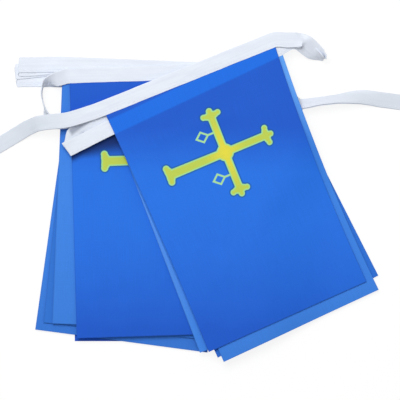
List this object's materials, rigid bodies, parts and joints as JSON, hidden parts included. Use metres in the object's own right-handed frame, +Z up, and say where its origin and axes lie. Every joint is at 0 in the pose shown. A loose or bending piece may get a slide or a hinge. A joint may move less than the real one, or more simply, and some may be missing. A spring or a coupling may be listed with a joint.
{
  "type": "flag bunting",
  "caption": "String of oblong printed flags sewn to a doubled white tape, folded back and forth and laid flat in two fanned stacks, with loose tape ends.",
  "frame": {"origin": "on the surface the folded bunting lies on, under the middle of its bounding box", "axes": "+Z up from the surface, +Y towards the sewn edges of the flags, +X towards the right end of the tape as it lies"},
  "size_m": [0.3666, 0.2787, 0.016],
  "materials": {
    "printed_cloth": "plain-woven polyester, azure print with a yellow cross on the face, paler on the back, faint sheen",
    "tape": "white woven polyester tape, folded lengthwise and stitched, matt"
  },
  "bodies": {
    "root": {"front_flag_4": "printed_cloth", "front_flag_3": "printed_cloth", "front_flag_2": "printed_cloth", "front_flag_1": "printed_cloth", "rear_flag_5": "printed_cloth", "rear_flag_4": "printed_cloth", "rear_flag_3": "printed_cloth", "rear_flag_2": "printed_cloth", "rear_flag_1": "printed_cloth", "tape": "tape"}
  },
  "joints": []
}
